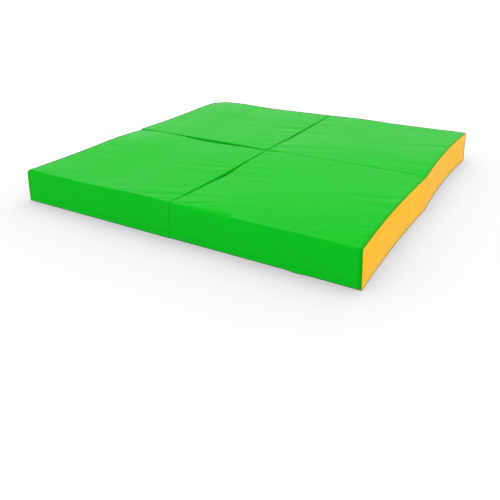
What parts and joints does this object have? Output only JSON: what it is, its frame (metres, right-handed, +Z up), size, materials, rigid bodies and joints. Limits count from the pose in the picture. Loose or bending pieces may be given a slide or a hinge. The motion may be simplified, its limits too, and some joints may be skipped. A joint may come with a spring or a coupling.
{
  "type": "folding landing mat",
  "caption": "Square crash landing mat of thick foam sections in sewn fabric covers, joined edge to edge so that it folds into a stack.",
  "frame": {"origin": "middle of the opened mat, on the ground it lies on", "axes": "+X to the right, along the front edge; +Y to the back; +Z up, through the mat's thickness"},
  "size_m": [1, 1, 0.1],
  "materials": {
    "green_fabric": "matte coated woven cover fabric",
    "orange_fabric": "matte coated woven cover fabric",
    "foam": "soft open-cell foam with cut faces",
    "zip_tape": "woven tape",
    "zip_teeth": "nylon coil",
    "zip_metal": "semi-gloss enamel"
  },
  "bodies": {
    "front_left": {"front_left_foam_core": "foam", "front_left_cover_wrap": "green_fabric", "front_left_left_wall": "orange_fabric", "front_left_right_wall": "green_fabric", "front_left_base_sheet": "orange_fabric", "front_left_zip_facing": "orange_fabric", "front_left_zip_tapes": "zip_tape", "front_left_zip_coils": "zip_teeth", "front_left_zip_stops": "zip_metal", "front_seam_web_left": "orange_fabric"},
    "front_left_zip_slider": {"front_left_zip_slider": "zip_metal"},
    "front_left_zip_pull": {"front_left_zip_pull": "zip_metal"},
    "front_right": {"front_right_foam_core": "foam", "front_right_cover_wrap": "green_fabric", "front_right_left_wall": "green_fabric", "front_right_right_wall": "orange_fabric", "front_right_base_sheet": "orange_fabric", "front_right_zip_facing": "orange_fabric", "front_right_zip_tapes": "zip_tape", "front_right_zip_coils": "zip_teeth", "front_right_zip_stops": "zip_metal", "front_seam_web_right": "orange_fabric", "right_seam_web_front": "green_fabric"},
    "front_right_zip_slider": {"front_right_zip_slider": "zip_metal"},
    "front_right_zip_pull": {"front_right_zip_pull": "zip_metal"},
    "back_right": {"back_right_foam_core": "foam", "back_right_cover_wrap": "green_fabric", "back_right_left_wall": "green_fabric", "back_right_right_wall": "orange_fabric", "back_right_base_sheet": "orange_fabric", "back_right_zip_facing": "orange_fabric", "back_right_zip_tapes": "zip_tape", "back_right_zip_coils": "zip_teeth", "back_right_zip_stops": "zip_metal", "back_seam_web_right": "orange_fabric", "right_seam_web_back": "green_fabric"},
    "back_right_zip_slider": {"back_right_zip_slider": "zip_metal"},
    "back_right_zip_pull": {"back_right_zip_pull": "zip_metal"},
    "back_left": {"back_left_foam_core": "foam", "back_left_cover_wrap": "green_fabric", "back_left_left_wall": "orange_fabric", "back_left_right_wall": "green_fabric", "back_left_base_sheet": "orange_fabric", "back_left_zip_facing": "orange_fabric", "back_left_zip_tapes": "zip_tape", "back_left_zip_coils": "zip_teeth", "back_left_zip_stops": "zip_metal", "back_seam_web_left": "orange_fabric"},
    "back_left_zip_slider": {"back_left_zip_slider": "zip_metal"},
    "back_left_zip_pull": {"back_left_zip_pull": "zip_metal"}
  },
  "joints": [
    {"name": "front_fold", "type": "hinge", "parent": "front_right", "child": "front_left", "pos_m": [0, -0.2505, -0.0005], "axis": [0, -1, 0], "range_deg": [0, 180]},
    {"name": "right_fold", "type": "hinge", "parent": "front_right", "child": "back_right", "pos_m": [0.2505, 0, 0.1005], "axis": [1, 0, 0], "range_deg": [0, 180]},
    {"name": "back_fold", "type": "hinge", "parent": "back_right", "child": "back_left", "pos_m": [0, 0.2505, -0.0005], "axis": [0, -1, 0], "range_deg": [0, 180]},
    {"name": "front_left_zip_travel", "type": "slide", "parent": "front_left", "child": "front_left_zip_slider", "axis": [-1, 0, 0], "range_m": [0, 0.384]},
    {"name": "front_left_zip_pull_swing", "type": "hinge", "parent": "front_left_zip_slider", "child": "front_left_zip_pull", "pos_m": [-0.0585, -0.071, 0.0017], "axis": [0, -1, 0], "range_deg": [0, 180]},
    {"name": "front_right_zip_travel", "type": "slide", "parent": "front_right", "child": "front_right_zip_slider", "axis": [-1, 0, 0], "range_m": [0, 0.384]},
    {"name": "front_right_zip_pull_swing", "type": "hinge", "parent": "front_right_zip_slider", "child": "front_right_zip_pull", "pos_m": [0.4425, -0.071, 0.0017], "axis": [0, -1, 0], "range_deg": [0, 180]},
    {"name": "back_right_zip_travel", "type": "slide", "parent": "back_right", "child": "back_right_zip_slider", "axis": [-1, 0, 0], "range_m": [0, 0.384]},
    {"name": "back_right_zip_pull_swing", "type": "hinge", "parent": "back_right_zip_slider", "child": "back_right_zip_pull", "pos_m": [0.4425, 0.071, 0.0017], "axis": [0, -1, 0], "range_deg": [0, 180]},
    {"name": "back_left_zip_travel", "type": "slide", "parent": "back_left", "child": "back_left_zip_slider", "axis": [-1, 0, 0], "range_m": [0, 0.384]},
    {"name": "back_left_zip_pull_swing", "type": "hinge", "parent": "back_left_zip_slider", "child": "back_left_zip_pull", "pos_m": [-0.0585, 0.071, 0.0017], "axis": [0, -1, 0], "range_deg": [0, 180]}
  ]
}
